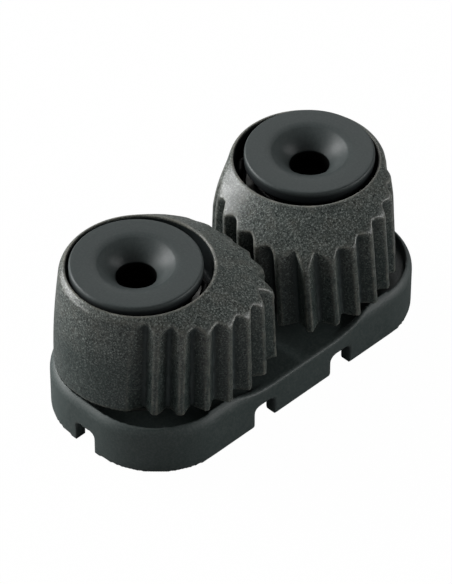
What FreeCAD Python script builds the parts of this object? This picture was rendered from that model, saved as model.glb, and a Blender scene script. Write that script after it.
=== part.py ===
import FreeCAD, Part
import os
from math import atan2, cos, degrees, exp, hypot, log, radians, sin
import Sketcher

V = FreeCAD.Vector
UP = V(0, 0, 1)

# Two places closer than this, in millimetres, count as one
HAIR = 1e-4

# Driving sizes in millimetres and degrees. The origin is the middle of the screw line on the
# underside, X runs through both screw holes and the rope is pulled towards minus Y.
SIZES = {
    "hole_spacing": 38.0,
    "screw_hole_radius": 2.75,
    "end_reach": 13.5,
    "base_width": 31.6,
    "base_shift": -2.1,
    "corner_radius": 12.9,
    "deck_height": 6.9,
    "deck_thickness": 2.4,
    "wall_thickness": 2.2,
    "lip_height": 9.35,
    "lip_rounding": 2.4,
    "lip_width": 1.1,
    "saddle_flat": 6.5,
    "saddle_end": 19.6,
    "notch_width": 4.2,
    "notch_drop": 0.6,
    "notch_rounding": 1.0,
    "notch_offset": 8.5,
    "boss_wall": 3.4,
    "rib_thickness": 2.0,
    "post_radius": 5.6,
    "post_bore_radius": 4.0,
    "post_height": 22.4,
    "post_bore_depth": 12.5,
    "edge_break": 0.25,
    "ball_diameter": 3.969,
    "ball_count": 11,
    "ball_play": 0.03,
    "race_clearance": 0.0155,
    "washer_thickness": 0.8,
    "washer_gap": 0.1,
    "thrust_overlap": 0.6,
    "cage_gap": 0.15,
    "cap_fit": 0.05,
    "cap_stem_length": 12.4,
    "cap_hub_radius": 7.4,
    "cap_face_gap": 0.28,
    "cap_face_thickness": 2.0,
    "cap_edge_rounding": 0.35,
    "cap_bore_radius": 3.25,
    "sink_radius": 6.4,
    "sink_depth": 2.7,
    "sink_bulge": 0.3,
    "wire_diameter": 1.1,
    "coil_gap": 0.45,
    "coil_pitch": 1.25,
    "coil_turns": 2.25,
    "coil_lift": 0.05,
    "coil_headroom": 0.3375,
    "bend_fullness": 1.02,
    "leg_wall_gap": 0.55,
    "leg_length": 2.2,
    "leg_engagement": 2.0,
    "leg_clearance": 0.07,
    "left_leg_angle": -55.4,
    "right_leg_angle": 132.9,
    "cam_foot": 9.6,
    "cam_drop": 0.95,
    "cam_hub_wall": 1.0,
    "cam_end_play": 0.05,
    "pocket_radius": 11.5,
    "pocket_shift": 0.8,
    "rim_width": 0.3,
    "pocket_wall": 0.75,
    "pocket_blend": 0.3,
    "crest_cover": 0.12,
    "cover_fade_angle": 22.0,
    "shoulder_blend": 0.6,
    "cone_slope": 0.56,
    "back_radius": 13.2,
    "nose_radius": 21.9,
    "nose_angle": -45.7,
    "heel_angle": -139.7,
    "spiral_power": 1.13,
    "face_gap": 0.4,
    "face_start_angle": -26.7,
    "face_end_angle": -4.7,
    "far_crest_angle": -32.6,
    "far_fall": 0.070,
    "far_end_angle": 50.0,
    "far_blend_angle": 28.0,
    "far_middle_angle": 50.0,
    "far_spread_angle": 32.0,
    "side_start_angle": -90.0,
    "side_turn_angle": 30.0,
    "wall_draft": 0.045,
    "barrel_curl": 0.0042,
    "far_curl": 0.000016,
    "flute_twist": 0.19,
    "flute_pitch": 4.0,
    "nose_pitch": 4.5,
    "far_pitch": 4.1,
    "flute_depth": 1.7,
    "end_flute_depth": 1.5,
    "flute_land": 0.75,
    "flute_root": 0.3,
    "run_out_length": 1.2,
    "run_out_slope": 0.62,
    "nose_flute_rise": 0.9,
    "nose_reach_angle": 8.0,
    "crest_search_angle": 6.0,
    "heel_margin_angle": 20.0,
    "far_margin_angle": 10.0,
    "cutter_overrun": 1.0,
    "cutter_side_stretch": 2.5,
    "cutter_reach": 33.0,
}

# Sizes that follow from the driving ones, as formulas in the same sheet
DERIVED = {
    "post_x": "hole_spacing / 2",
    "base_half": "post_x + end_reach",
    "depth_half": "base_width / 2",
    "core_half": "base_half - wall_thickness",
    "core_depth_half": "depth_half - wall_thickness",
    "core_corner": "corner_radius - wall_thickness",
    "core_height": "deck_height - deck_thickness",
    "recess_half": "base_half - lip_width",
    "recess_depth_half": "depth_half - lip_width",
    "recess_corner": "corner_radius - lip_width",
    "lip_rise": "lip_height - deck_height",
    "boss_radius": "screw_hole_radius + boss_wall",
    "rib_half": "rib_thickness / 2",
    "notch_half": "notch_width / 2",
    "notch_height": "core_height - notch_drop",
    "post_rise": "post_height - deck_height",
    "post_bore_floor": "post_height - post_bore_depth",
    "ball_radius": "ball_diameter / 2",
    "ball_circle": "post_radius + ball_radius + race_clearance",
    "bore_radius": "post_radius + ball_diameter + 2 * race_clearance",
    "row_height": "ball_diameter + 2 * ball_play",
    "ring_inner": "post_radius + cage_gap",
    "ring_outer": "bore_radius - cage_gap - ball_play",
    "thrust_outer": "bore_radius + thrust_overlap",
    "retainer_inner": "post_radius + cage_gap / 3",
    "retainer_outer": "bore_radius + thrust_overlap + washer_gap",
    "thrust_top": "deck_height + washer_thickness",
    "retainer_bottom": "post_height - washer_thickness",
    "lower_row_z": "thrust_top + row_height / 2",
    "upper_row_z": "retainer_bottom - row_height / 2",
    "cage_bottom": "thrust_top + row_height",
    "cage_height": "retainer_bottom - row_height - cage_bottom",
    "stem_radius": "post_bore_radius - cap_fit",
    "stem_bottom": "post_height - cap_stem_length",
    "wire_radius": "wire_diameter / 2",
    "coil_radius": "cap_hub_radius + coil_gap + wire_radius",
    "coil_bottom_z": "post_height + coil_lift + wire_radius",
    "coil_rise": "coil_pitch * coil_turns",
    "coil_top_z": "coil_bottom_z + coil_rise",
    "face_bottom": "coil_top_z + wire_radius + coil_headroom",
    "cap_top": "face_bottom + cap_face_thickness",
    "cap_face_radius": "pocket_radius - pocket_shift - cap_face_gap",
    "sink_floor": "cap_top - sink_depth",
    "leg_reach": "pocket_radius - leg_wall_gap",
    "slot_radius": "wire_radius + leg_clearance",
    "slot_top": "coil_bottom_z + slot_radius",
    "slot_inner": "cap_hub_radius - leg_engagement",
    "cam_top": "cap_top - cam_drop",
    "cam_bottom": "thrust_top + cam_end_play",
    "cam_floor": "retainer_bottom - cam_end_play",
    "cam_hub_radius": "bore_radius + cam_hub_wall",
    "face_distance": "post_x - face_gap",
}

doc = FreeCAD.newDocument("CamCleat")
sheet = doc.addObject("Spreadsheet::Sheet", "Sizes")


def fill_sheet():
    row = 1
    for name, value in SIZES.items():
        sheet.set("A%d" % row, name)
        sheet.set("B%d" % row, repr(value))
        sheet.setAlias("B%d" % row, name)
        row += 1
    for name, formula in DERIVED.items():
        sheet.set("A%d" % row, name)
        sheet.set("B%d" % row, "=" + formula)
        sheet.setAlias("B%d" % row, name)
        row += 1
    doc.recompute()


def size(name):
    """The value of a named size; a leading minus sign mirrors it."""
    if name.startswith("-"):
        return -size(name[1:])
    return 0.0 if name == "zero" else float(sheet.get(name))


def link(name):
    """The expression that binds a property to a named size."""
    return "-Sizes." + name[1:] if name.startswith("-") else "Sizes." + name


def bind(thing, prop, name):
    thing.setExpression(prop, link(name))


# Body and sketch helpers

def new_body(name):
    body = doc.addObject("PartDesign::Body", name)
    body.Label = name
    return body


def plane_of(body, role):
    return [f for f in body.Origin.OriginFeatures if f.Role == role][0]


def new_sketch(body, name, role="XY_Plane", lift=None):
    sketch = body.newObject("Sketcher::SketchObject", body.Name + "_" + name)
    sketch.AttachmentSupport = [(plane_of(body, role), "")]
    sketch.MapMode = "FlatFace"
    if lift:
        sketch.setExpression("AttachmentOffset.Base.z", link(lift))
    return sketch


def pin(sketch, geo, pos, x_name, y_name):
    """Fix a point of the sketch at two named coordinates."""
    for kind, name in (("DistanceX", x_name), ("DistanceY", y_name)):
        if name == "zero":
            axis = -2 if kind == "DistanceX" else -1
            sketch.addConstraint(Sketcher.Constraint("PointOnObject", geo, pos, axis))
        else:
            row = sketch.addConstraint(Sketcher.Constraint(kind, -1, 1, geo, pos, size(name)))
            sketch.setExpression("Constraints[%d]" % row, link(name))


def draw_polygon(sketch, corners):
    """A closed run of straight lines through corners given as pairs of size names."""
    points = [V(size(x), size(y), 0) for x, y in corners]
    count = len(points)
    geos = [sketch.addGeometry(Part.LineSegment(points[i], points[(i + 1) % count]))
            for i in range(count)]
    for i in range(count):
        sketch.addConstraint(Sketcher.Constraint("Coincident", geos[i], 2, geos[(i + 1) % count], 1))
        pin(sketch, geos[i], 1, *corners[i])


def draw_circle(sketch, x_name, y_name, radius_name):
    geo = sketch.addGeometry(Part.Circle(V(size(x_name), size(y_name), 0), UP, size(radius_name)))
    row = sketch.addConstraint(Sketcher.Constraint("Radius", geo, size(radius_name)))
    sketch.setExpression("Constraints[%d]" % row, link(radius_name))
    pin(sketch, geo, 3, x_name, y_name)


def draw_round_rectangle(sketch, half_x, half_y, middle_y, radius):
    """A rectangle with four tangent corner arcs, symmetric about the sketch's vertical axis."""
    hx, hy, cy, r = size(half_x), size(half_y), size(middle_y), size(radius)
    quarter = radians(90)
    sides = []
    arcs = []
    for i, (sx, sy) in enumerate(((1, 1), (-1, 1), (-1, -1), (1, -1))):
        centre = V(sx * (hx - r), cy + sy * (hy - r), 0)
        arc = Part.ArcOfCircle(Part.Circle(centre, UP, r), i * quarter, (i + 1) * quarter)
        arcs.append(sketch.addGeometry(arc))
    for i, arc in enumerate(arcs):
        follower = arcs[(i + 1) % 4]
        start = sketch.getPoint(arc, 2)
        end = sketch.getPoint(follower, 1)
        side = sketch.addGeometry(Part.LineSegment(start, end))
        sketch.addConstraint(Sketcher.Constraint("Tangent", arc, 2, side, 1))
        sketch.addConstraint(Sketcher.Constraint("Tangent", side, 2, follower, 1))
        sketch.addConstraint(Sketcher.Constraint("Horizontal" if i % 2 == 0 else "Vertical", side))
        sides.append(side)
    for arc in arcs[1:]:
        sketch.addConstraint(Sketcher.Constraint("Equal", arcs[0], arc))
    pairs = (("Radius", (arcs[0],), radius), ("DistanceX", (-1, 1, sides[3], 1), half_x),
             ("DistanceX", (sides[1], 1, -1, 1), half_x))
    for kind, where, name in pairs:
        row = sketch.addConstraint(Sketcher.Constraint(kind, *where, size(name)))
        sketch.setExpression("Constraints[%d]" % row, link(name))
    for side, sign in ((sides[0], 1), (sides[2], -1)):
        row = sketch.addConstraint(Sketcher.Constraint("DistanceY", -1, 1, side, 1, cy + sign * hy))
        sketch.setExpression("Constraints[%d]" % row,
                             "Sizes.%s %s Sizes.%s" % (middle_y, "+" if sign > 0 else "-", half_y))


def pad(body, sketch, name, length):
    feature = body.newObject("PartDesign::Pad", body.Name + "_" + name)
    feature.Profile = sketch
    bind(feature, "Length", length)
    doc.recompute()
    return feature


def pocket(body, sketch, name, length=None, upward=False, both_ways=False):
    before = body.Shape.Volume
    feature = body.newObject("PartDesign::Pocket", body.Name + "_" + name)
    feature.Profile = sketch
    feature.Reversed = upward
    feature.Midplane = both_ways
    if length:
        bind(feature, "Length", length)
    else:
        feature.Type = "ThroughAll"
    doc.recompute()
    if body.Shape.Volume >= before:
        raise RuntimeError(name + " removed nothing")
    return feature


def revolve(body, sketch, name):
    feature = body.newObject("PartDesign::Revolution", body.Name + "_" + name)
    feature.Profile = sketch
    feature.ReferenceAxis = (sketch, ["V_Axis"])
    feature.Angle = 360
    doc.recompute()
    return feature


def fillet_edges(body, base, name, radius, wanted):
    edges = ["Edge%d" % (i + 1) for i, edge in enumerate(base.Shape.Edges) if wanted(edge)]
    feature = body.newObject("PartDesign::Fillet", body.Name + "_" + name)
    feature.Base = (base, edges)
    bind(feature, "Radius", radius)
    doc.recompute()
    return feature


def on_post(body, side):
    """Stand a body built round the Z axis on the left or right post."""
    body.setExpression("Placement.Base.x", "%d * Sizes.post_x" % side)


# Base moulding

def level(edge, height):
    return all(abs(v.Z - height) < HAIR for v in edge.Vertexes)


def saddle_profile(sketch):
    """The cut that lowers both long lips towards the middle, drawn as two S-shaped ramps."""
    flat, end = size("saddle_flat"), size("saddle_end")
    low, high = size("deck_height"), size("lip_height")
    run, rise = (end - flat) / 2, (high - low) / 2
    bend = (run * run + rise * rise) / (2 * rise)
    tilt = atan2(run, bend - rise)
    down = radians(-90)
    up = radians(90)
    concave = [Part.ArcOfCircle(Part.Circle(V(flat, low + bend, 0), UP, bend), down, down + tilt),
               Part.ArcOfCircle(Part.Circle(V(-flat, low + bend, 0), UP, bend), down - tilt, down)]
    convex = [Part.ArcOfCircle(Part.Circle(V(end, high - bend, 0), UP, bend), up, up + tilt),
              Part.ArcOfCircle(Part.Circle(V(-end, high - bend, 0), UP, bend), up - tilt, up)]
    floor = sketch.addGeometry(Part.LineSegment(V(-flat, low, 0), V(flat, low, 0)))
    inner_right, inner_left = [sketch.addGeometry(arc) for arc in concave]
    outer_right, outer_left = [sketch.addGeometry(arc) for arc in convex]
    lid = sketch.addGeometry(Part.LineSegment(V(end, high, 0), V(-end, high, 0)))
    joins = (("Tangent", floor, 2, inner_right, 1), ("Tangent", inner_right, 2, outer_right, 2),
             ("Coincident", outer_right, 1, lid, 1), ("Coincident", lid, 2, outer_left, 2),
             ("Tangent", outer_left, 1, inner_left, 1), ("Tangent", inner_left, 2, floor, 1),
             ("Equal", inner_right, outer_right), ("Equal", inner_left, outer_left))
    for join in joins:
        sketch.addConstraint(Sketcher.Constraint(*join))
    pin(sketch, floor, 1, "-saddle_flat", "deck_height")
    pin(sketch, floor, 2, "saddle_flat", "deck_height")
    pin(sketch, lid, 1, "saddle_end", "lip_height")
    pin(sketch, lid, 2, "-saddle_end", "lip_height")
    return sketch


def notch_profile(sketch, middle):
    """A slot open at the bottom, centred on a named coordinate of the sketch."""
    half, height, centre = size("notch_half"), size("notch_height"), size(middle)
    corners = [V(centre - half, -half, 0), V(centre + half, -half, 0),
               V(centre + half, height, 0), V(centre - half, height, 0)]
    geos = [sketch.addGeometry(Part.LineSegment(corners[i], corners[(i + 1) % 4])) for i in range(4)]
    for i in range(4):
        sketch.addConstraint(Sketcher.Constraint("Coincident", geos[i], 2, geos[(i + 1) % 4], 1))
        sketch.addConstraint(Sketcher.Constraint("Horizontal" if i % 2 == 0 else "Vertical", geos[i]))
    rules = (("DistanceX", (-1, 1, geos[0], 1), centre - half, "%s - Sizes.notch_half" % link(middle)),
             ("DistanceX", (geos[0], 1, geos[0], 2), 2 * half, "Sizes.notch_width"),
             ("DistanceY", (geos[0], 1, -1, 1), half, "Sizes.notch_half"),
             ("DistanceY", (-1, 1, geos[2], 1), height, "Sizes.notch_height"))
    for kind, where, value, expression in rules:
        row = sketch.addConstraint(Sketcher.Constraint(kind, *where, value))
        sketch.setExpression("Constraints[%d]" % row, expression)


def make_base():
    body = new_body("base")
    outline = new_sketch(body, "outline")
    draw_round_rectangle(outline, "base_half", "depth_half", "base_shift", "corner_radius")
    block = pad(body, outline, "block", "lip_height")
    top = size("lip_height")
    fillet_edges(body, block, "lip_edge", "lip_rounding", lambda edge: level(edge, top))

    recess = new_sketch(body, "recess", lift="lip_height")
    draw_round_rectangle(recess, "recess_half", "recess_depth_half", "base_shift", "recess_corner")
    pocket(body, recess, "deck", "lip_rise")
    pocket(body, saddle_profile(new_sketch(body, "saddle", "XZ_Plane")), "saddle_cut", both_ways=True)

    core = new_sketch(body, "core")
    draw_round_rectangle(core, "core_half", "core_depth_half", "base_shift", "core_corner")
    pocket(body, core, "hollow", "core_height", upward=True)
    for role, places in (("XZ_Plane", ("-notch_offset", "notch_offset")), ("YZ_Plane", ("base_shift",))):
        for place in places:
            tag = role[:2].lower() + ("_left" if place.startswith("-") else "_right")
            notch = new_sketch(body, "notch_" + tag, role)
            notch_profile(notch, place)
            cut = pocket(body, notch, "notch_cut_" + tag, both_ways=True)
            roof = size("notch_height")
            fillet_edges(body, cut, "notch_round_" + tag, "notch_rounding",
                         lambda edge: is_notch_corner(edge, size(place), roof, role))

    stiffening = new_sketch(body, "bosses")
    for sign in ("-", ""):
        draw_circle(stiffening, sign + "post_x", "zero", "boss_radius")
    pad(body, stiffening, "boss_pads", "deck_height")
    rib = new_sketch(body, "rib")
    rib_outline(rib)
    pad(body, rib, "rib_pad", "core_height")
    posts = new_sketch(body, "posts", lift="deck_height")
    for sign in ("-", ""):
        draw_circle(posts, sign + "post_x", "zero", "post_radius")
    pad(body, posts, "post_pads", "post_rise")
    bores = new_sketch(body, "post_bores", lift="post_height")
    for sign in ("-", ""):
        draw_circle(bores, sign + "post_x", "zero", "post_bore_radius")
    pocket(body, bores, "post_bore_cut", "post_bore_depth")
    holes = new_sketch(body, "screw_holes")
    for sign in ("-", ""):
        draw_circle(holes, sign + "post_x", "zero", "screw_hole_radius")
    pocket(body, holes, "screw_hole_cut", upward=True)
    return body


def is_notch_corner(edge, place, roof, role):
    """True for the straight top corners of one notch, which run through the wall."""
    if len(edge.Vertexes) != 2 or not level(edge, roof):
        return False
    across = [v.X if role == "XZ_Plane" else v.Y for v in edge.Vertexes]
    half = size("notch_half")
    return abs(across[0] - across[1]) < HAIR and abs(abs(across[0] - place) - half) < HAIR


def rib_outline(sketch):
    """One rib across the middle, sunk into both long walls."""
    half, reach, shift = size("rib_half"), size("core_depth_half"), size("base_shift")
    bite = size("wall_thickness") / 2
    low, high = shift - reach - bite, shift + reach + bite
    corners = [V(-half, low, 0), V(half, low, 0), V(half, high, 0), V(-half, high, 0)]
    geos = [sketch.addGeometry(Part.LineSegment(corners[i], corners[(i + 1) % 4])) for i in range(4)]
    for i in range(4):
        sketch.addConstraint(Sketcher.Constraint("Coincident", geos[i], 2, geos[(i + 1) % 4], 1))
        sketch.addConstraint(Sketcher.Constraint("Horizontal" if i % 2 == 0 else "Vertical", geos[i]))
    rules = (("DistanceX", (geos[0], 1, -1, 1), half, "Sizes.rib_half"),
             ("DistanceX", (-1, 1, geos[0], 2), half, "Sizes.rib_half"),
             ("DistanceY", (-1, 1, geos[0], 1), low,
              "Sizes.base_shift - Sizes.core_depth_half - Sizes.wall_thickness / 2"),
             ("DistanceY", (-1, 1, geos[2], 1), high,
              "Sizes.base_shift + Sizes.core_depth_half + Sizes.wall_thickness / 2"))
    for kind, where, value, expression in rules:
        row = sketch.addConstraint(Sketcher.Constraint(kind, *where, value))
        sketch.setExpression("Constraints[%d]" % row, expression)


# Rings and ball rows round one post

def make_ring(name, side, inner, outer, bottom, height):
    body = new_body(name)
    sketch = new_sketch(body, "ring", lift=bottom)
    draw_circle(sketch, "zero", "zero", outer)
    draw_circle(sketch, "zero", "zero", inner)
    ring = pad(body, sketch, "plate", height)
    top = size(bottom) + size(height)
    rim = size(outer)
    fillet_edges(body, ring, "edge", "edge_break",
                 lambda edge: level(edge, top) and abs(edge.Curve.Radius - rim) < HAIR)
    on_post(body, side)
    return body


def make_ball_row(name, side, row_z):
    body = new_body(name)
    body.AllowCompound = True
    sketch = new_sketch(body, "half_disc", "XZ_Plane")
    x, z, r = size("ball_circle"), size(row_z), size("ball_radius")
    arc = sketch.addGeometry(Part.ArcOfCircle(Part.Circle(V(x, z, 0), UP, r), radians(-90), radians(90)))
    axis = sketch.addGeometry(Part.LineSegment(V(x, z + r, 0), V(x, z - r, 0)))
    for join in (("Coincident", arc, 2, axis, 1), ("Coincident", arc, 1, axis, 2), ("Vertical", axis)):
        sketch.addConstraint(Sketcher.Constraint(*join))
    sketch.addConstraint(Sketcher.Constraint("PointOnObject", arc, 3, axis))
    row = sketch.addConstraint(Sketcher.Constraint("Radius", arc, r))
    sketch.setExpression("Constraints[%d]" % row, "Sizes.ball_radius")
    pin(sketch, arc, 3, "ball_circle", row_z)
    ball = body.newObject("PartDesign::Revolution", name + "_ball")
    ball.Profile = sketch
    ball.ReferenceAxis = (sketch, ["Edge2"])
    ball.Angle = 360
    doc.recompute()
    pattern = body.newObject("PartDesign::PolarPattern", name + "_pattern")
    pattern.Originals = [ball]
    pattern.Axis = ([f for f in body.Origin.OriginFeatures if f.Role == "Z_Axis"][0], [""])
    pattern.Angle = 360
    pattern.setExpression("Occurrences", "Sizes.ball_count")
    body.Tip = pattern
    doc.recompute()
    on_post(body, side)
    return body


# Cap with its countersink, stem and spring slot

def cap_profile(sketch):
    """Half section of the cap: flanged face, hub, stem, countersink and stepped bore."""
    corners = [("screw_hole_radius", "stem_bottom"), ("stem_radius", "stem_bottom"),
               ("stem_radius", "post_height"), ("cap_hub_radius", "post_height"),
               ("cap_hub_radius", "face_bottom"), ("cap_face_radius", "face_bottom"),
               ("cap_face_radius", "cap_top"), ("sink_radius", "cap_top"),
               ("cap_bore_radius", "sink_floor"), ("cap_bore_radius", "post_height"),
               ("screw_hole_radius", "post_height")]
    points = [V(size(x), size(y), 0) for x, y in corners]
    rim, throat = points[7], points[8]
    chord = throat - rim
    bulge = V(-chord.y, chord.x, 0).normalize() * size("sink_bulge")
    middle = (rim + throat) * 0.5 - bulge
    geos = []
    for i, point in enumerate(points):
        follower = points[(i + 1) % len(points)]
        if i == 7:
            geos.append(sketch.addGeometry(Part.Arc(rim, middle, throat)))
        else:
            geos.append(sketch.addGeometry(Part.LineSegment(point, follower)))
    arc = geos[7]
    curve = sketch.Geometry[arc]
    starts_at_rim = curve.StartPoint.distanceToPoint(rim) < HAIR
    first, last = (1, 2) if starts_at_rim else (2, 1)
    for i, geo in enumerate(geos):
        end = last if geo == arc else 2
        start = first if geos[(i + 1) % len(geos)] == arc else 1
        sketch.addConstraint(Sketcher.Constraint("Coincident", geo, end, geos[(i + 1) % len(geos)], start))
        pin(sketch, geo, first if geo == arc else 1, *corners[i])
    sketch.addConstraint(Sketcher.Constraint("Radius", arc, curve.Radius))


def make_cap(name, side, slot_angle):
    body = new_body(name)
    sketch = new_sketch(body, "section", "XZ_Plane")
    cap_profile(sketch)
    turned = revolve(body, sketch, "turned")
    top, rim = size("cap_top"), size("cap_face_radius")
    fillet_edges(body, turned, "face_edge", "cap_edge_rounding",
                 lambda edge: level(edge, top) and abs(edge.Curve.Radius - rim) < HAIR)
    slot = new_sketch(body, "slot", lift="post_height")
    slot.AttachmentOffset = FreeCAD.Placement(V(0, 0, size("post_height")),
                                              FreeCAD.Rotation(UP, slot_angle))
    slot.setExpression("AttachmentOffset.Base.z", "Sizes.post_height")
    reach = ("slot_inner", "coil_radius")
    draw_polygon(slot, [(reach[0], "-slot_radius"), (reach[1], "-slot_radius"),
                        (reach[1], "slot_radius"), (reach[0], "slot_radius")])
    cut = pocket(body, slot, "spring_slot", upward=True, length="slot_radius")
    cut.setExpression("Length", "Sizes.slot_top - Sizes.post_height")
    doc.recompute()
    on_post(body, side)
    return body


# Torsion spring

def primitive(kind, name, **sizes):
    thing = doc.addObject("Part::" + kind, name)
    for prop, expression in sizes.items():
        thing.setExpression(prop, expression)
    return thing


def leg_turns(side):
    """Angles about the post of the spring's elbow, of the coil's top end and of its bottom end."""
    elbow = size("left_leg_angle") if side < 0 else size("right_leg_angle")
    hand = -side
    swing = degrees(atan2((size("leg_reach") ** 2 - size("coil_radius") ** 2) ** 0.5,
                          size("coil_radius")))
    top = elbow + hand * swing
    return elbow, top, top + hand * 360 * size("coil_turns")


def polar(radius, angle, z):
    return V(radius * cos(radians(angle)), radius * sin(radians(angle)), z)


def rod(name, start, end):
    """A straight stretch of wire between two points."""
    piece = primitive("Cylinder", name, Radius="Sizes.wire_radius")
    piece.Height = (end - start).Length
    piece.Placement = FreeCAD.Placement(start, FreeCAD.Rotation(UP, end - start))
    return piece


def elbow_ball(name, place):
    """A bend in the wire, a hair fuller than the wire so that the stretches blend into it."""
    piece = primitive("Sphere", name, Radius="Sizes.wire_radius * Sizes.bend_fullness")
    piece.Placement.Base = place
    return piece


def make_spring(name, side):
    elbow, top, bottom = leg_turns(side)
    z_low, z_high = size("coil_bottom_z"), size("coil_top_z")
    hand = -side
    helix = primitive("Helix", name + "_helix", Pitch="Sizes.coil_pitch", Height="Sizes.coil_rise",
                      Radius="Sizes.coil_radius")
    helix.LocalCoord = "Left-handed" if side < 0 else "Right-handed"
    turn = FreeCAD.Placement(V(0, 0, z_low), FreeCAD.Rotation(UP, bottom))
    helix.Placement = turn
    wire = primitive("Circle", name + "_wire", Radius="Sizes.wire_radius")
    wire.Placement = turn.multiply(FreeCAD.Placement(V(size("coil_radius"), 0, 0),
                                                     FreeCAD.Rotation(V(1, 0, 0), 90 * hand)))
    doc.recompute()
    coil = doc.addObject("Part::Sweep", name + "_coil")
    coil.Sections = [wire]
    coil.Spine = (helix, ["Edge%d" % (i + 1) for i in range(len(helix.Shape.Edges))])
    coil.Solid = True
    coil.Frenet = True

    r, reach = size("coil_radius"), size("leg_reach")
    start = polar(r, bottom, z_low)
    anchor = polar(size("slot_inner") + size("slot_radius"), bottom, z_low)
    leave = polar(r, top, z_high)
    bend = polar(reach, elbow, z_high)
    along = polar(size("leg_length"), elbow - hand * 90, 0)
    tip = bend + along
    foot = V(tip.x, tip.y, size("cam_floor") - size("leg_engagement"))
    pieces = [coil, rod(name + "_anchor", start, anchor), rod(name + "_leg", leave, bend),
              rod(name + "_tail", bend, tip), rod(name + "_hook", tip, foot)]
    for tag, place in (("elbow", bend), ("tip", tip)):
        pieces.append(elbow_ball("%s_%s_bend" % (name, tag), place))
    spring = doc.addObject("Part::MultiFuse", name)
    spring.Label = name
    spring.Shapes = pieces
    spring.Refine = False
    doc.recompute()
    spring.setExpression("Placement.Base.x", "%d * Sizes.post_x" % side)
    return spring, tip


# Fluted cam, drawn for the left post with its axis on Z and its nose towards plus X

def wrap(angle):
    return (angle + 180) % 360 - 180


def wall_radius(angle):
    """Radius of the crests at the foot: a growing spiral, a flat face at the nose and a far side."""
    angle = wrap(angle)
    back, heel, nose = size("back_radius"), size("heel_angle"), size("nose_angle")
    if angle <= heel:
        return back
    if angle <= nose:
        grown = (angle - heel) / (nose - heel)
        return back + (size("nose_radius") - back) * grown ** size("spiral_power")
    corner_angle = size("face_start_angle")
    if angle <= corner_angle:
        tip = polar(size("nose_radius"), nose, 0)
        corner = polar(size("face_distance") / cos(radians(corner_angle)), corner_angle, 0)
        ray = polar(1, angle, 0)
        side = corner - tip
        return (tip.x * side.y - tip.y * side.x) / (ray.x * side.y - ray.y * side.x)
    end = size("face_end_angle")
    if angle <= end:
        return size("face_distance") / cos(radians(angle))
    radius = size("face_distance") / cos(radians(end)) - size("far_fall") * (angle - end)
    ease = eased((angle - size("far_end_angle")) / size("far_blend_angle"))
    return max(back, radius * (1 - ease) + back * ease)


def soft_min(a, b, blend):
    low = min(a, b)
    return low - blend * log(exp((low - a) / blend) + exp((low - b) / blend))


def eased(share):
    """A soft step that runs from 0 to 1 as the share does."""
    share = min(max(share, 0), 1)
    return share * share * (3 - 2 * share)


def sideness(angle):
    """0 on the spiral and nose, 1 on the back and the far side, eased between them."""
    angle = wrap(angle)
    turned = size("side_start_angle") - angle if angle < 0 else angle
    return eased(turned / size("side_turn_angle"))


def lean(angle, height):
    """How far the wall has drawn in above the foot."""
    rise = height - size("cam_foot")
    off_middle = (wrap(angle) - size("far_middle_angle")) / size("far_spread_angle")
    curled = size("barrel_curl") * rise ** 2 + size("far_curl") * exp(-off_middle ** 2) * rise ** 4
    soft = sideness(angle)
    return (1 - soft) * size("wall_draft") * rise + soft * curled


def cover(angle):
    """Stock left outside the crests, which the flute cutter trims; none on the smooth back."""
    angle = wrap(angle)
    past = max(size("heel_angle") - angle, angle - size("far_end_angle"))
    return size("crest_cover") * (1 - eased(past / size("cover_fade_angle")))


def envelope_radius(angle, height):
    """Radius of the unfluted cam: the leaning wall, never thinner than its least, under a cone."""
    rise = height - size("cam_foot")
    wall = wall_radius(angle - size("flute_twist") * rise) + cover(angle) - lean(angle, height)
    opening = size("pocket_radius") + size("pocket_shift") * cos(radians(angle))
    wall = -soft_min(-wall, -(opening + size("pocket_wall")), size("pocket_blend"))
    cone = opening + size("rim_width") + (size("cam_top") - height) / size("cone_slope")
    side = sideness(angle)
    blend = size("shoulder_blend") * (1 - side) + size("pocket_blend") * side
    return soft_min(wall, cone, blend)


def make_envelope(name):
    """The unfluted cam as one smooth skin over a grid of radii, closed below and above.

    The levels of the grid gather towards the top, where the skin turns in to the cone.
    """
    foot, top = size("cam_foot"), size("cam_top")
    levels = 14
    step = 6
    grid = []
    for row in range(levels + 1):
        share = row / levels
        gathered = (3 * share - share ** 3) / 2
        height = foot + (top - foot) * gathered
        grid.append([polar(envelope_radius(angle, height), angle, height)
                     for angle in range(-180, 180 + step, step)])
    surface = Part.BSplineSurface()
    surface.interpolate(grid)
    skin = surface.toShape()
    lids = []
    for height in (foot, top):
        rim = [edge for edge in skin.Edges if level(edge, height)]
        lids.append(Part.Face(Part.Wire(rim)))
    shell = Part.Shell([skin] + lids)
    shell.sewShape()
    solid = Part.Solid(shell)
    if solid.Volume < 0:
        solid.reverse()
    thing = doc.addObject("Part::Feature", name)
    thing.Shape = solid
    return thing


def crest_angles():
    """Crest places at the foot, stepped away from the nose by an even pitch along the wall.

    The last one on the far side is the end of the toothed wall, as the heel is on the near side.
    """
    ahead = size("crest_search_angle")
    near = [size("nose_angle")]
    pitch = size("nose_pitch")
    while near[-1] > size("heel_angle") + size("heel_margin_angle"):
        near.append(near[-1] - degrees(pitch / wall_radius(near[-1] - ahead)))
        pitch = size("flute_pitch")
    far = [size("far_crest_angle")]
    while far[-1] < size("far_end_angle") - size("far_margin_angle"):
        far.append(far[-1] + degrees(size("far_pitch") / wall_radius(far[-1] + ahead)))
    return near[::-1] + far


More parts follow.
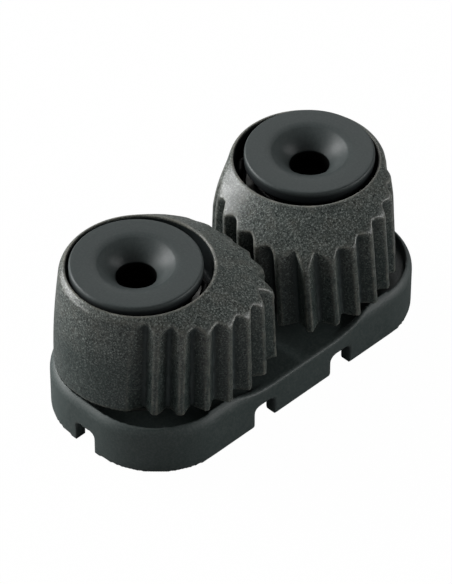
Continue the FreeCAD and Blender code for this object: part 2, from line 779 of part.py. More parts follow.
def flute_corners():
    """Plan corners of the toothed wall at the foot, two per crest and two per root, with depths."""
    crests = [polar(wall_radius(angle), angle, 0) for angle in crest_angles()]
    chain = [polar(size("back_radius"), size("heel_angle"), 0)] + crests
    land, root = size("flute_land") / 2, size("flute_root") / 2
    corners = []
    for i, here in enumerate(chain):
        if 0 < i < len(chain) - 1:
            along = (chain[i + 1] - chain[i - 1]).normalize()
            corners += [(here - along * land, 0), (here + along * land, 0)]
        else:
            corners.append((here, 0))
        if i < len(chain) - 1:
            chord = chain[i + 1] - here
            along = V(chord).normalize()
            inward = V(-along.y, along.x, 0)
            depth = size("end_flute_depth" if i in (0, len(chain) - 2) else "flute_depth")
            bottom = here + chord * 0.5 + inward * depth
            corners += [(bottom - along * root, depth), (bottom + along * root, depth)]
    return corners


def shoulder_height(radius, angle):
    """Height at which the cone passes through a wall of the given radius."""
    opening = size("pocket_radius") + size("pocket_shift") * cos(radians(angle))
    return size("cam_top") - size("cone_slope") * (radius - opening - size("rim_width"))


def cutter_point(corner, depth, height=None):
    """A corner of the flutes at a height, or where its run-out starts if no height is given."""
    foot, draft = size("cam_foot"), size("wall_draft")
    radius, angle = hypot(corner.x, corner.y), degrees(atan2(corner.y, corner.x))
    drawn_in = draft * (size("cam_top") - foot)
    reach = size("nose_reach_angle")
    away = eased((abs(angle - size("nose_angle")) - reach) / reach)
    start = shoulder_height(radius + depth - drawn_in, angle)
    start += size("nose_flute_rise") * (1 - away) - size("run_out_length") * away
    if height is None:
        height = start
    rise = height - foot
    radius -= draft * rise
    if depth and height > start:
        radius += size("run_out_slope") * (height - start)
    return polar(radius, angle + size("flute_twist") * rise, height)


def cutter_section(name, height=None):
    """The toothed wall at one height, or along its shoulder, closed by a wide arc outside."""
    inner = [cutter_point(corner, depth, height) for corner, depth in flute_corners()]
    stretch = size("cutter_side_stretch")
    first = inner[0] + (inner[0] - inner[1]) * stretch
    last = inner[-1] + (inner[-1] - inner[-2]) * stretch
    first.z, last.z = inner[0].z, inner[-1].z
    start = degrees(atan2(first.y, first.x))
    turn = degrees(atan2(last.y, last.x)) - start
    hops = 8
    outer = [polar(size("cutter_reach"), start + turn * i / hops,
                   first.z + (last.z - first.z) * i / hops) for i in range(hops, -1, -1)]
    loop = ([first] + inner[1:-1] + [last] + outer)[::-1]
    section = doc.addObject("Part::Feature", name)
    section.Shape = Part.makePolygon(loop + [loop[0]])
    return section


def boolean(kind, name, first, second):
    thing = doc.addObject("Part::" + kind, name)
    thing.Base = first
    thing.Tool = second
    return thing


def drill(name, radius, bottom, top, shift=None):
    piece = primitive("Cylinder", name, Radius=radius, Height="(%s) - (%s)" % (top, bottom))
    piece.setExpression("Placement.Base.z", bottom)
    if shift:
        piece.setExpression("Placement.Base.x", shift)
    return piece


def make_cam_blank():
    """The cam without its spring hole."""
    overrun = size("cutter_overrun")
    skin = make_envelope("cam_envelope")
    teeth = doc.addObject("Part::Loft", "cam_flutes")
    teeth.Sections = [cutter_section("flutes_foot", size("cam_foot") - overrun),
                      cutter_section("flutes_shoulder"),
                      cutter_section("flutes_top", size("cam_top") + overrun)]
    teeth.Solid = True
    teeth.Ruled = True
    doc.recompute()
    fluted = boolean("Cut", "cam_fluted", skin, teeth)
    hub = drill("cam_hub", "Sizes.cam_hub_radius", "Sizes.cam_bottom",
                "Sizes.cam_foot + Sizes.cutter_overrun")
    whole = boolean("Fuse", "cam_whole", fluted, hub)
    opening = drill("cam_pocket", "Sizes.pocket_radius", "Sizes.cam_floor",
                    "Sizes.cam_top + Sizes.cutter_overrun", shift="Sizes.pocket_shift")
    bore = drill("cam_bore", "Sizes.bore_radius", "Sizes.cam_bottom - Sizes.cutter_overrun",
                 "Sizes.cam_floor + Sizes.cutter_overrun")
    hollow = boolean("Fuse", "cam_hollow", opening, bore)
    blank = boolean("Cut", "cam_blank", whole, hollow)
    doc.recompute()
    return blank


def make_cam(name, side, blank, hook):
    """One cam on its post, with the blind hole that the spring hook drops into."""
    hole = drill(name + "_hook_hole", "Sizes.slot_radius",
                 "Sizes.cam_floor - Sizes.leg_engagement - Sizes.leg_clearance",
                 "Sizes.cam_floor + Sizes.cutter_overrun")
    hole.Placement.Base.x = hook.x
    hole.Placement.Base.y = hook.y
    body = blank
    if side > 0:
        body = doc.addObject("Part::Mirroring", name + "_mirrored")
        body.Source = blank
        body.Normal = V(1, 0, 0)
    cam = boolean("Cut", name, body, hole)
    cam.Label = name
    doc.recompute()
    cam.setExpression("Placement.Base.x", "%d * Sizes.post_x" % side)
    doc.recompute()
    return cam


def export(parts):
    os.makedirs("parts", exist_ok=True)
    doc.recompute()
    for thing in doc.Objects:
        if any(word in thing.State for word in ("Invalid", "Error")):
            raise RuntimeError("%s did not compute" % thing.Name)
    for part in parts:
        shape = part.Shape
        if shape.isNull() or not shape.isValid():
            raise RuntimeError("%s has no valid shape" % part.Label)
        shape.exportStep("parts/%s.step" % part.Label)


fill_sheet()
parts = [make_base()]
blank = make_cam_blank()
for label, side in (("left", -1), ("right", 1)):
    spring, hook = make_spring(label + "_spring", side)
    parts.append(make_cam(label + "_cam", side, blank, hook))
    parts.append(make_cap(label + "_cap", side, leg_turns(side)[2]))
    parts.append(spring)
    parts.append(make_ring(label + "_retaining_washer", side, "retainer_inner", "retainer_outer",
                           "retainer_bottom", "washer_thickness"))
    parts.append(make_ring(label + "_thrust_washer", side, "ring_inner", "thrust_outer",
                           "deck_height", "washer_thickness"))
    parts.append(make_ring(label + "_ball_spacer", side, "ring_inner", "ring_outer",
                           "cage_bottom", "cage_height"))
    parts.append(make_ball_row(label + "_upper_balls", side, "upper_row_z"))
    parts.append(make_ball_row(label + "_lower_balls", side, "lower_row_z"))
export(parts)
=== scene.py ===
from math import cos, pi, radians, sin

import bpy
import numpy
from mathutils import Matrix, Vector


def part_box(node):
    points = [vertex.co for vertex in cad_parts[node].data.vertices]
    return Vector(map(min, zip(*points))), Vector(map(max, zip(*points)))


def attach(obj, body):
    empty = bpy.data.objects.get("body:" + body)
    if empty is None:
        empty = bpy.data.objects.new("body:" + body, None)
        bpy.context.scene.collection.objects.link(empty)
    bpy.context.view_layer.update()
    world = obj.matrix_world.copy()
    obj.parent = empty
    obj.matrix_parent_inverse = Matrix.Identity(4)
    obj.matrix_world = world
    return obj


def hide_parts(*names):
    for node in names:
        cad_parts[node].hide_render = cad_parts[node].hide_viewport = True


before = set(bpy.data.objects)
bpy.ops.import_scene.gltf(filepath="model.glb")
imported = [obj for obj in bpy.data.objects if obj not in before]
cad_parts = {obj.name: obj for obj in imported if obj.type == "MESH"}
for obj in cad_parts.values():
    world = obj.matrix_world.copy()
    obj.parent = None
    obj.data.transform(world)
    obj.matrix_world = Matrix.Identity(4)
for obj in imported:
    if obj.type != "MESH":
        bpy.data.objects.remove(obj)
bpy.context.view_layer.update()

MM = 0.001

# The camera stands before the left end of the cleat and looks down on it
CAMERA_AZIMUTH = -44.48
CAMERA_ELEVATION = 42.30
CAMERA_DISTANCE = 597.5 * MM
CAMERA_TARGET = Vector((-13.83, -14.50, 28.73)) * MM
CAMERA_LENS = 241.7
CAMERA_SENSOR = 36
CAMERA_NEAR = 10 * MM
CAMERA_FAR = 20

# The studio: its air, its white floor and its soft boxes, which aim at one point in the cleat
AIR_LEVEL = 0.08
FLOOR_SIZE = 6
FLOOR_GREY = (0.30, 0.30, 0.30)
PAPER_GLOW = 1.02
PAPER_SHARE = 0.97
LIGHT_AIM = Vector((0, 0, 15 * MM))
SOFT_BOXES = (
    # name, place, width, height and power
    ("key_low_left", (-0.60, 0.78, 0.26), 0.95, 0.46, 8.5),
    ("key_back_left", (-0.19, 0.78, 0.58), 0.45, 0.40, 7.5),
    ("side_low_right", (0.64, -0.72, 0.24), 0.85, 0.42, 4.8),
    ("back_high", (0.66, 0.48, 0.62), 0.50, 0.50, 1.1),
    ("front_low", (-0.70, -0.80, 0.30), 0.60, 0.40, 0.5),
)

# Sizes of the caps that the frame's boxes don't give
HUB_RADIUS = 7.4 * MM
STEM_RADIUS = 3.95 * MM
CAP_BORE_RADIUS = 3.25 * MM
SCREW_HOLE_RADIUS = 2.75 * MM
FACE_THICKNESS = 2.0 * MM
POST_TOP = 22.4 * MM
COUNTERSINK_RADIUS = 6.4 * MM
COUNTERSINK_DEPTH = 2.7 * MM
COUNTERSINK_BULGE = 0.3 * MM
FACE_ROUNDING = 0.4 * MM

# How finely a cap's section is stepped and spun, and how close its doubled points lie
ROUNDING_STEPS = 6
FACE_SHARES = (0.75, 0.5, 0.25)
COUNTERSINK_STEPS = 20
SPIN_STEPS = 160
SPIN_MERGE = 0.001 * MM

# How far below a cap's face its bore and its outer wall go into painted shade
BORE_PAINTED_SHADE_DEPTH = 1.12 * COUNTERSINK_DEPTH
WALL_LIT_DEPTH = 0.9 * FACE_ROUNDING
WALL_DARK_DEPTH = 2.2 * FACE_ROUNDING
WALL_SHADE_START = 9.6 * MM
WALL_SHADE_FULL = 10.0 * MM

# The round pocket of a cam, and the skin and rim by which its inside, painted in shade, is told
# apart
POCKET_RADIUS = 11.5 * MM
POCKET_SHIFT = 0.8 * MM
POCKET_SKIN = 0.1 * MM
POCKET_RIM = 0.3 * MM

# How the mouldings are meshed again, and how often each one's edges are eased
SEAM_MERGE = 0.002 * MM
CAM_VOXEL = 0.2 * MM
CAM_EASING = 2
BASE_VOXEL = 0.28 * MM
BASE_EASING = 3
EASE_FACTOR = 0.5

# How wide and how deep the rubbed edges (with a painted highlight), the roots (with a painted
# glint) and the hollows (painted in shade) are
EDGE_ROUNDS = 5
EDGE_RISE = 0.05 * MM
ROOT_DEPTH = 0.05 * MM
HOLLOW_ROUNDS = 60
HOLLOW_DEPTH = 0.22 * MM
RELIEF_MASKS = (("crest", EDGE_ROUNDS, EDGE_RISE), ("root", EDGE_ROUNDS, -ROOT_DEPTH),
                ("hollow", HOLLOW_ROUNDS, -HOLLOW_DEPTH))

# Where a cam's worn shoulder starts and is fully worn, and how much softer it is there
SHOULDER_FOOT = 15.0 * MM
SHOULDER_TOP = 20.0 * MM
SHOULDER_ROUNDS = 8
RIM_CLEARANCE = 0.5 * MM

# Between these heights the cams turn warmer, and paler as painted top light
CAM_PALE_FOOT = 17 * MM
CAM_PALE_TOP = 24 * MM

# Cam colours
CAM_DARK = (0.029, 0.043, 0.040)
CAM_LIGHT = (0.040, 0.055, 0.051)
CAM_PAINTED_TOP_LIGHT = (0.076, 0.087, 0.080)
CAM_WARM_PAINTED_TOP_LIGHT = (0.086, 0.091, 0.080)
FIBRE = (0.29, 0.32, 0.30)
PIT = (0.010, 0.013, 0.013)
RUBBED_CREST_PAINTED_HIGHLIGHT = (0.21, 0.205, 0.175)
HOLLOW_PAINTED_SHADE = (0.003, 0.009, 0.011)
ROOT_GLINT = (0.085, 0.105, 0.103)

# Base colours
BASE_DARK = (0.034, 0.049, 0.047)
BASE_LIGHT = (0.041, 0.057, 0.055)
BASE_GRAIN = (0.090, 0.103, 0.098)
BASE_EDGE_PAINTED_HIGHLIGHT = (0.12, 0.13, 0.125)

# Cap colours
CAP_DARK = (0.045, 0.055, 0.055)
CAP_LIGHT = (0.051, 0.061, 0.061)
CAP_GRAIN = (0.10, 0.11, 0.105)
CAP_BORE_PAINTED_SHADE = (0.002, 0.002, 0.002)
CAP_WALL_PAINTED_SHADE = (0.008, 0.011, 0.012)

# Colours of the small parts inside
# The spring wire is near black: painted shade for the deep cam pocket it sits in
SPRING_STEEL_PAINTED_SHADE = (0.018, 0.018, 0.018)
WASHER_STEEL = (0.30, 0.30, 0.29)
BALL_WHITE = (0.78, 0.77, 0.72)
SPACER_BLACK = (0.045, 0.045, 0.045)

# How strongly each colour is laid over the ones before it: fibres below and on top, crests (rubbed
# wear and painted highlight) where they are least and most rubbed
PAINTED_TOP_LIGHT_SHARE = 0.7
FIBRE_SHARES = (0.45, 0.95)
PIT_SHARE = 0.9
CREST_WEAR_AND_HIGHLIGHT_SHARES = (0.15, 0.8)
HOLLOW_PAINTED_SHADE_SHARE = 0.94
GLINT_SHARE = 0.7
BASE_GRAIN_SHARE = 0.45
BASE_EDGE_HIGHLIGHT_SHARE = 0.12
CAP_GRAIN_SHARE = 0.2

# Roughness at the two ends of each pattern, and how much duller a shaded place is
CAM_ROUGHNESS = (0.25, 0.38)
BASE_ROUGHNESS = (0.50, 0.60)
CAP_ROUGHNESS = (0.38, 0.46)
SHADE_DULLING = 0.35
CAP_SPECULAR = 0.26

# The caps' faint turning marks
RING_SCALE = 500
RING_WAVER = 0.4

# Edges sharper than this stay sharp when a piece is shaded smooth
CAP_CREASE = radians(35)
BEARING_CREASE = radians(40)

SIDES = ("left", "right")


# Shader helpers

class Finish:
    """A material, and short ways to add the shader nodes of its pattern."""

    def __init__(self, name):
        self.material = bpy.data.materials.new(name)
        self.material.use_nodes = True
        self.nodes = self.material.node_tree.nodes
        self.links = self.material.node_tree.links
        self.shader = self.nodes["Principled BSDF"]

    def feed(self, socket, value):
        """Give a socket a number, a colour or another node's output."""
        if isinstance(value, bpy.types.NodeSocket):
            self.links.new(value, socket)
        elif isinstance(value, tuple):
            socket.default_value = (*value, 1)
        else:
            socket.default_value = value

    def object_space(self, centre=(0, 0, 0)):
        """Object coordinates, moved so that a pattern is centred on a point."""
        coordinates = self.nodes.new("ShaderNodeTexCoord")
        mapping = self.nodes.new("ShaderNodeMapping")
        mapping.inputs["Location"].default_value = [-c for c in centre]
        self.feed(mapping.inputs["Vector"], coordinates.outputs["Object"])
        return mapping.outputs["Vector"]

    def noise(self, place, scale, detail=4.0, roughness=0.6):
        texture = self.nodes.new("ShaderNodeTexNoise")
        self.feed(texture.inputs["Scale"], scale)
        self.feed(texture.inputs["Detail"], detail)
        self.feed(texture.inputs["Roughness"], roughness)
        self.feed(texture.inputs["Vector"], place)
        return texture.outputs["Fac"]

    def speckle(self, place, scale):
        """Noise that stays strong in its finest detail."""
        return self.noise(place, scale, detail=3, roughness=0.7)

    def fit(self, value, low, high, new_low=0, new_high=1):
        """Map the range from low to high onto a new one, and hold it at the ends."""
        remap = self.nodes.new("ShaderNodeMapRange")
        for socket, given in (("Value", value), ("From Min", low), ("From Max", high),
                              ("To Min", new_low), ("To Max", new_high)):
            self.feed(remap.inputs[socket], given)
        return remap.outputs["Result"]

    def spread(self, share, ends):
        """A share from 0 to 1, mapped onto a pair of values."""
        return self.fit(share, 0, 1, *ends)

    def blend(self, share, first, second):
        """Mix two colours, each a tuple or a socket, by a share."""
        mix = self.nodes.new("ShaderNodeMix")
        mix.data_type = "RGBA"
        self.feed(mix.inputs["Factor"], share)
        self.feed(mix.inputs[6], first)
        self.feed(mix.inputs[7], second)
        return mix.outputs[2]

    def arithmetic(self, operation, first, second):
        result = self.nodes.new("ShaderNodeMath")
        result.operation = operation
        self.feed(result.inputs[0], first)
        self.feed(result.inputs[1], second)
        return result.outputs["Value"]

    def multiply(self, first, second):
        return self.arithmetic("MULTIPLY", first, second)

    def add(self, first, second):
        return self.arithmetic("ADD", first, second)

    def height_share(self, place, low, high):
        """0 below one height of the place vector and 1 above another."""
        split = self.nodes.new("ShaderNodeSeparateXYZ")
        self.feed(split.inputs["Vector"], place)
        return self.fit(split.outputs["Z"], low, high)

    def axis_distance(self, place):
        """How far the place vector is from its upright axis."""
        flat = self.nodes.new("ShaderNodeVectorMath")
        flat.operation = "MULTIPLY"
        flat.inputs[1].default_value = (1, 1, 0)
        self.feed(flat.inputs[0], place)
        reach = self.nodes.new("ShaderNodeVectorMath")
        reach.operation = "LENGTH"
        self.feed(reach.inputs[0], flat.outputs["Vector"])
        return reach.outputs["Value"]

    def relief(self, name):
        """A mask that mark_relief stored on the piece's points."""
        mask = self.nodes.new("ShaderNodeAttribute")
        mask.attribute_name = name
        return mask.outputs["Fac"]

    def bump(self, height, strength, distance):
        grain = self.nodes.new("ShaderNodeBump")
        self.feed(grain.inputs["Strength"], strength)
        self.feed(grain.inputs["Distance"], distance)
        self.feed(grain.inputs["Height"], height)
        self.feed(self.shader.inputs["Normal"], grain.outputs["Normal"])

    def coat(self, colour, roughness):
        self.feed(self.shader.inputs["Base Color"], colour)
        self.feed(self.shader.inputs["Roughness"], roughness)


# Finishes

def fibre_filled_moulding(name):
    """Dark cam plastic: fine pale fibres, warmer on top and paler there as painted top light,
    rubbed crests with a painted highlight, painted glints in the flute roots and painted shade in
    the flutes and pocket.
    """
    finish = Finish(name)
    place = finish.object_space()
    cloud = finish.fit(finish.noise(place, scale=260), low=0.35, high=0.65)
    colour = finish.blend(cloud, CAM_DARK, CAM_LIGHT)
    # Painted top light: towards its top the cam is blended paler, and warmer in patches
    upper = finish.height_share(place, CAM_PALE_FOOT, CAM_PALE_TOP)
    warm = finish.fit(finish.noise(place, scale=420), low=0.46, high=0.66)
    colour = finish.blend(finish.multiply(upper, PAINTED_TOP_LIGHT_SHARE), colour, CAM_PAINTED_TOP_LIGHT)
    colour = finish.blend(finish.multiply(warm, upper), colour, CAM_WARM_PAINTED_TOP_LIGHT)
    fibre = finish.fit(finish.speckle(place, scale=3600), low=0.50, high=0.64)
    shown = finish.spread(upper, FIBRE_SHARES)
    colour = finish.blend(finish.multiply(fibre, shown), colour, FIBRE)
    pit = finish.fit(finish.speckle(place, scale=3000), low=0.38, high=0.50,
                     new_low=PIT_SHARE, new_high=0)
    colour = finish.blend(pit, colour, PIT)
    # Crests are lightened as rubbed wear and as a painted highlight along their edges
    patches = finish.fit(finish.noise(place, scale=600), 0.35, 0.65, *CREST_WEAR_AND_HIGHLIGHT_SHARES)
    colour = finish.blend(finish.multiply(finish.relief("crest"), patches), colour, RUBBED_CREST_PAINTED_HIGHLIGHT)
    # Painted shade in the flutes' hollows and inside the pocket
    colour = finish.blend(finish.multiply(finish.relief("hollow"), HOLLOW_PAINTED_SHADE_SHARE), colour, HOLLOW_PAINTED_SHADE)
    # A painted glint along the flute roots
    colour = finish.blend(finish.multiply(finish.relief("root"), GLINT_SHARE), colour, ROOT_GLINT)
    gloss = finish.fit(finish.noise(place, scale=900), 0.3, 0.7, *CAM_ROUGHNESS)
    dull = finish.multiply(finish.relief("hollow"), SHADE_DULLING)
    finish.coat(colour, finish.add(gloss, dull))
    finish.bump(finish.noise(place, scale=3300, roughness=0.7), strength=0.6, distance=0.05 * MM)
    return finish.material


def matt_moulding(name):
    """Even, finely grained dark grey base plastic with a greenish cast."""
    finish = Finish(name)
    place = finish.object_space()
    cloud = finish.fit(finish.noise(place, scale=110), low=0.35, high=0.65)
    colour = finish.blend(cloud, BASE_DARK, BASE_LIGHT)
    grain = finish.fit(finish.noise(place, scale=3000, detail=2), low=0.42, high=0.64)
    colour = finish.blend(finish.multiply(grain, BASE_GRAIN_SHARE), colour, BASE_GRAIN)
    # Painted highlight along the base's edges
    edge = finish.multiply(finish.relief("crest"), BASE_EDGE_HIGHLIGHT_SHARE)
    colour = finish.blend(edge, colour, BASE_EDGE_PAINTED_HIGHLIGHT)
    finish.coat(colour, finish.spread(grain, BASE_ROUGHNESS))
    finish.bump(finish.noise(place, scale=3000, detail=3), strength=0.3, distance=0.04 * MM)
    return finish.material


def turned_satin(name, centre):
    """Satin cap plastic: faint rings round its own axis, painted shade in the screw bore and on
    the outer wall.
    """
    finish = Finish(name)
    place = finish.object_space(centre)
    rings = finish.nodes.new("ShaderNodeTexWave")
    rings.wave_type = "RINGS"
    rings.rings_direction = "Z"
    finish.feed(rings.inputs["Scale"], RING_SCALE)
    finish.feed(rings.inputs["Distortion"], RING_WAVER)
    finish.feed(rings.inputs["Vector"], place)
    cloud = finish.fit(finish.noise(place, scale=240), low=0.3, high=0.7)
    colour = finish.blend(cloud, CAP_DARK, CAP_LIGHT)
    grain = finish.fit(finish.noise(place, scale=2600, detail=2), low=0.42, high=0.7,
                       new_high=CAP_GRAIN_SHARE)
    colour = finish.blend(grain, colour, CAP_GRAIN)
    # Painted shade deep in the screw bore
    lit = finish.height_share(place, -BORE_PAINTED_SHADE_DEPTH, -COUNTERSINK_DEPTH)
    colour = finish.blend(lit, CAP_BORE_PAINTED_SHADE, colour)
    # Painted shade on the outer wall below the face
    below_face = finish.spread(finish.height_share(place, -WALL_DARK_DEPTH, -WALL_LIT_DEPTH),
                               (1, 0))
    outside = finish.fit(finish.axis_distance(place), WALL_SHADE_START, WALL_SHADE_FULL)
    shaded = finish.multiply(outside, below_face)
    colour = finish.blend(shaded, colour, CAP_WALL_PAINTED_SHADE)
    gloss = finish.spread(cloud, CAP_ROUGHNESS)
    finish.coat(colour, finish.add(gloss, finish.spread(shaded, (0, SHADE_DULLING))))
    finish.feed(finish.shader.inputs["Specular IOR Level"], CAP_SPECULAR)
    finish.bump(rings.outputs["Fac"], strength=0.10, distance=0.02 * MM)
    return finish.material


def plain_finish(name, colour, roughness, shade, spread, scale, metallic):
    """One colour that darkens to a shade of itself where it turns rougher, in soft patches."""
    finish = Finish(name)
    tone = finish.fit(finish.noise(finish.object_space(), scale), low=0.3, high=0.7)
    finish.coat(finish.blend(tone, colour, tuple(c * shade for c in colour)),
                finish.spread(tone, (roughness, roughness + spread)))
    finish.feed(finish.shader.inputs["Metallic"], metallic)
    return finish.material


def drawn_steel(name, colour, roughness):
    return plain_finish(name, colour, roughness, shade=0.8, spread=0.12, scale=1200, metallic=1)


def polished_acetal(name, colour, roughness):
    return plain_finish(name, colour, roughness, shade=0.9, spread=0.1, scale=400, metallic=0)


def dress(thing, material):
    thing.data.materials.clear()
    thing.data.materials.append(material)


# Pieces

def deselect():
    bpy.ops.object.select_all(action="DESELECT")


def work_on(thing):
    deselect()
    thing.hide_set(False)
    thing.select_set(True)
    bpy.context.view_layer.objects.active = thing


def eased_points(points, ends, rounds):
    """Where the points go when each is averaged with its neighbours a number of times."""
    first, second = ends
    number = len(points)
    neighbours = numpy.bincount(first, minlength=number) + numpy.bincount(second, minlength=number)
    for _ in range(rounds):
        pulled = numpy.column_stack([numpy.bincount(first, points[second, axis], number)
                                     + numpy.bincount(second, points[first, axis], number)
                                     for axis in range(3)])
        points = (points + pulled / neighbours[:, None]) / 2
    return points


def point_places(mesh):
    places = numpy.empty(len(mesh.vertices) * 3)
    mesh.vertices.foreach_get("co", places)
    return places.reshape(-1, 3)


def pocket_reach(points, node):
    """How far a cam's points are from the upright axis of its round pocket."""
    low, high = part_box(node.replace("_cam", "_cap"))
    axis = (low + high) / 2
    shift = POCKET_SHIFT if axis.x < 0 else -POCKET_SHIFT
    return numpy.hypot(points[:, 0] - axis.x - shift, points[:, 1] - axis.y)


def inside_pocket(points, node):
    """True for the points of a cam that face its cap, below the pocket's rim."""
    below = points[:, 2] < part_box(node)[1].z - POCKET_RIM
    return (pocket_reach(points, node) < POCKET_RADIUS + POCKET_SKIN) & below


def mark_relief(piece, node):
    """Store on each point how far it stands out as an edge and how deep it lies in a hollow."""
    mesh = piece.data
    points = point_places(mesh)
    normals = numpy.empty(len(points) * 3)
    mesh.vertices.foreach_get("normal", normals)
    normals = normals.reshape(-1, 3)
    ends = numpy.empty(len(mesh.edges) * 2, dtype=numpy.int32)
    mesh.edges.foreach_get("vertices", ends)
    ends = ends.reshape(-1, 2).T
    for name, rounds, full in RELIEF_MASKS:
        proud = ((points - eased_points(points, ends, rounds)) * normals).sum(axis=1)
        share = numpy.clip(proud / full, 0, 1)
        # Inside the pocket every point takes the full painted shade of a hollow and no root glint
        if name != "crest" and node.endswith("_cam"):
            share[inside_pocket(points, node)] = 1 if name == "hollow" else 0
        mask = mesh.attributes.new(name, "FLOAT", "POINT")
        mask.data.foreach_set("value", share.astype(numpy.float32))


def weigh_shoulder(piece, node):
    """A vertex group that grows from the foot of a cam's shoulder to its top, clear of the rim."""
    points = point_places(piece.data)
    share = numpy.clip((points[:, 2] - SHOULDER_FOOT) / (SHOULDER_TOP - SHOULDER_FOOT), 0, 1)
    share *= numpy.clip((pocket_reach(points, node) - POCKET_RADIUS) / RIM_CLEARANCE - 1, 0, 1)
    group = piece.vertex_groups.new(name="shoulder")
    for index in numpy.flatnonzero(share):
        group.add([int(index)], float(share[index]), "REPLACE")


def smooth(piece, rounds, group=""):
    """Smooth a piece, all over or by a vertex group."""
    modifier = piece.modifiers.new("ease", "SMOOTH")
    modifier.factor = EASE_FACTOR
    modifier.iterations = rounds
    modifier.vertex_group = group
    bpy.ops.object.modifier_apply(modifier=modifier.name)


def softened_copy(node, name, voxel, rounds, body, material):
    """A CAD node's copy with every edge eased, as it leaves the mould; it stands for the node."""
    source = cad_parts[node]
    piece = source.copy()
    piece.data = source.data.copy()
    for key in list(piece.keys()):
        del piece[key]
    piece.name = name
    piece.parent = None
    bpy.context.scene.collection.objects.link(piece)
    work_on(piece)
    bpy.ops.object.mode_set(mode="EDIT")
    bpy.ops.mesh.select_all(action="SELECT")
    bpy.ops.mesh.remove_doubles(threshold=SEAM_MERGE)
    bpy.ops.mesh.normals_make_consistent(inside=False)
    bpy.ops.object.mode_set(mode="OBJECT")
    remesh = piece.modifiers.new("mould", "REMESH")
    remesh.mode = "VOXEL"
    remesh.voxel_size = voxel
    remesh.use_smooth_shade = True
    bpy.ops.object.modifier_apply(modifier=remesh.name)
    smooth(piece, rounds)
    if node.endswith("_cam"):
        weigh_shoulder(piece, node)
        smooth(piece, SHOULDER_ROUNDS, "shoulder")
        piece.vertex_groups.clear()
    mark_relief(piece, node)
    dress(piece, material)
    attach(piece, body)
    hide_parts(node)


def cap_outline(low, high):
    """Half section of a cap as (radius, height) pairs, from the stem's foot round to its bore."""
    rim = (high.x - low.x) / 2
    top = high.z
    outline = [(STEM_RADIUS, low.z), (STEM_RADIUS, POST_TOP), (HUB_RADIUS, POST_TOP),
               (HUB_RADIUS, top - FACE_THICKNESS), (rim, top - FACE_THICKNESS)]
    for step in range(ROUNDING_STEPS + 1):
        angle = pi / 2 * step / ROUNDING_STEPS
        outline.append((rim - FACE_ROUNDING + FACE_ROUNDING * cos(angle),
                        top - FACE_ROUNDING + FACE_ROUNDING * sin(angle)))
    for share in FACE_SHARES:
        outline.append((COUNTERSINK_RADIUS + (rim - COUNTERSINK_RADIUS) * share, top))
    throat = Vector((CAP_BORE_RADIUS, top - COUNTERSINK_DEPTH))
    lip = Vector((COUNTERSINK_RADIUS, top))
    slope = throat - lip
    inward = Vector((slope.y, -slope.x)).normalized()
    for step in range(1, COUNTERSINK_STEPS):
        share = step / COUNTERSINK_STEPS
        point = lip + slope * share + inward * COUNTERSINK_BULGE * sin(pi * share)
        outline.append((point.x, point.y))
    outline += [(throat.x, throat.y), (CAP_BORE_RADIUS, POST_TOP), (SCREW_HOLE_RADIUS, POST_TOP),
                (SCREW_HOLE_RADIUS, low.z)]
    return outline


def turned_cap(side):
    """The cap, spun from its half section about the post."""
    node = side + "_cap"
    low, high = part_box(node)
    centre = (low + high) / 2
    deselect()
    outline = cap_outline(low, high)
    start = outline[0]
    # The plane is only there to be merged into the section's first point
    bpy.ops.mesh.primitive_plane_add(size=MM, location=(centre.x + start[0], centre.y, start[1]))
    cap = bpy.context.object
    cap.name = side + "_cap_turned"
    bpy.ops.object.transform_apply(location=True, rotation=True, scale=True)
    bpy.ops.object.mode_set(mode="EDIT")
    bpy.ops.mesh.select_all(action="SELECT")
    bpy.ops.mesh.merge(type="CENTER")
    for before, after in zip(outline, outline[1:] + [start]):
        bpy.ops.mesh.extrude_region_move(
            TRANSFORM_OT_translate={"value": (after[0] - before[0], 0, after[1] - before[1])})
    bpy.ops.mesh.select_all(action="SELECT")
    bpy.ops.mesh.remove_doubles(threshold=SPIN_MERGE)
    bpy.ops.mesh.spin(steps=SPIN_STEPS, angle=2 * pi, center=(centre.x, centre.y, 0),
                      axis=(0, 0, 1))
    bpy.ops.mesh.select_all(action="SELECT")
    bpy.ops.mesh.remove_doubles(threshold=SPIN_MERGE)
    bpy.ops.mesh.normals_make_consistent(inside=False)
    bpy.ops.object.mode_set(mode="OBJECT")
    bpy.ops.object.shade_smooth_by_angle(angle=CAP_CREASE)
    dress(cap, turned_satin(side + "_cap_satin", (centre.x, centre.y, high.z)))
    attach(cap, "mount")
    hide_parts(node)


def dress_bearings():
    """Finishes for the CAD nodes inside and under the cams, which keep their own shapes."""
    wire = drawn_steel("drawn_spring_wire", SPRING_STEEL_PAINTED_SHADE, roughness=0.45)
    washer = drawn_steel("pressed_washer_steel", WASHER_STEEL, roughness=0.40)
    ball = polished_acetal("ball_acetal_white", BALL_WHITE, roughness=0.18)
    spacer = polished_acetal("spacer_acetal_black", SPACER_BLACK, roughness=0.40)
    for side in SIDES:
        for node, material in (("spring", wire), ("retaining_washer", washer),
                               ("thrust_washer", washer), ("upper_balls", ball),
                               ("lower_balls", ball), ("ball_spacer", spacer)):
            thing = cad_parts[side + "_" + node]
            dress(thing, material)
            work_on(thing)
            bpy.ops.object.shade_smooth_by_angle(angle=BEARING_CREASE)


# Studio

def place_camera():
    azimuth, elevation = radians(CAMERA_AZIMUTH), radians(CAMERA_ELEVATION)
    back = Vector((sin(azimuth) * cos(elevation), -cos(azimuth) * cos(elevation), sin(elevation)))
    data = bpy.data.cameras.new("camera")
    data.lens = CAMERA_LENS
    data.sensor_width = CAMERA_SENSOR
    data.clip_start = CAMERA_NEAR
    data.clip_end = CAMERA_FAR
    camera = bpy.data.objects.new("camera", data)
    camera.location = CAMERA_TARGET + back * CAMERA_DISTANCE
    camera.rotation_mode = "QUATERNION"
    camera.rotation_quaternion = (-back).to_track_quat("-Z", "Y")
    bpy.context.scene.collection.objects.link(camera)
    bpy.context.scene.camera = camera


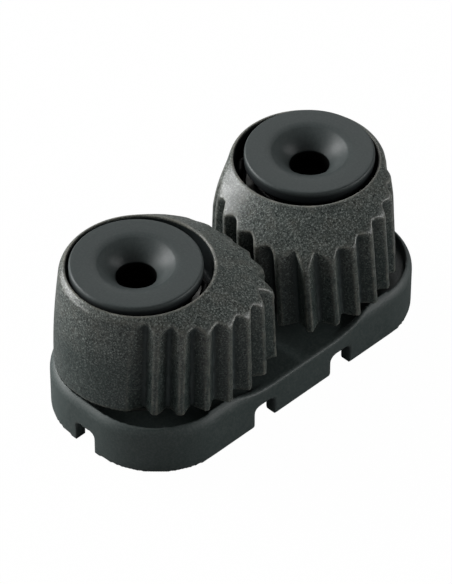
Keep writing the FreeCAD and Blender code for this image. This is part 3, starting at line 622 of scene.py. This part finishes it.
def white_floor():
    """A pale floor that reads as white paper to the camera and keeps a faint shadow."""
    deselect()
    bpy.ops.mesh.primitive_plane_add(size=FLOOR_SIZE, location=(0, 0, 0))
    floor = bpy.context.object
    floor.name = "studio_floor"
    finish = Finish("pale_paper")
    finish.coat(FLOOR_GREY, 1)
    finish.feed(finish.shader.inputs["Specular IOR Level"], 0)
    glow = finish.nodes.new("ShaderNodeEmission")
    finish.feed(glow.inputs["Strength"], PAPER_GLOW)
    rays = finish.nodes.new("ShaderNodeLightPath")
    mix = finish.nodes.new("ShaderNodeMixShader")
    finish.feed(mix.inputs["Fac"], finish.multiply(rays.outputs["Is Camera Ray"], PAPER_SHARE))
    finish.feed(mix.inputs[1], finish.shader.outputs["BSDF"])
    finish.feed(mix.inputs[2], glow.outputs["Emission"])
    finish.feed(finish.nodes["Material Output"].inputs["Surface"], mix.outputs["Shader"])
    dress(floor, finish.material)


def soft_world():
    world = bpy.data.worlds.new("studio_air")
    bpy.context.scene.world = world
    world.use_nodes = True
    background = world.node_tree.nodes["Background"]
    background.inputs["Color"].default_value = (1, 1, 1, 1)
    background.inputs["Strength"].default_value = AIR_LEVEL


def soft_box(name, place, width, height, power):
    """An oblong soft light aimed at the cleat."""
    light = bpy.data.lights.new(name, "AREA")
    light.shape = "RECTANGLE"
    light.size = width
    light.size_y = height
    light.energy = power
    lamp = bpy.data.objects.new(name, light)
    lamp.location = place
    lamp.rotation_mode = "QUATERNION"
    lamp.rotation_quaternion = (LIGHT_AIM - Vector(place)).to_track_quat("-Z", "Y")
    bpy.context.scene.collection.objects.link(lamp)


place_camera()
white_floor()
soft_world()
for box in SOFT_BOXES:
    soft_box(*box)

cam_finish = fibre_filled_moulding("cam_fibre_moulding")
base_finish = matt_moulding("base_matt_moulding")
for side in SIDES:
    softened_copy(side + "_cam", side + "_cam_moulding", CAM_VOXEL, CAM_EASING,
                  side + "_cam_body", cam_finish)
    turned_cap(side)
softened_copy("base", "base_moulding", BASE_VOXEL, BASE_EASING, "mount",
              base_finish)
dress_bearings()

bpy.context.scene.view_settings.view_transform = "Standard"
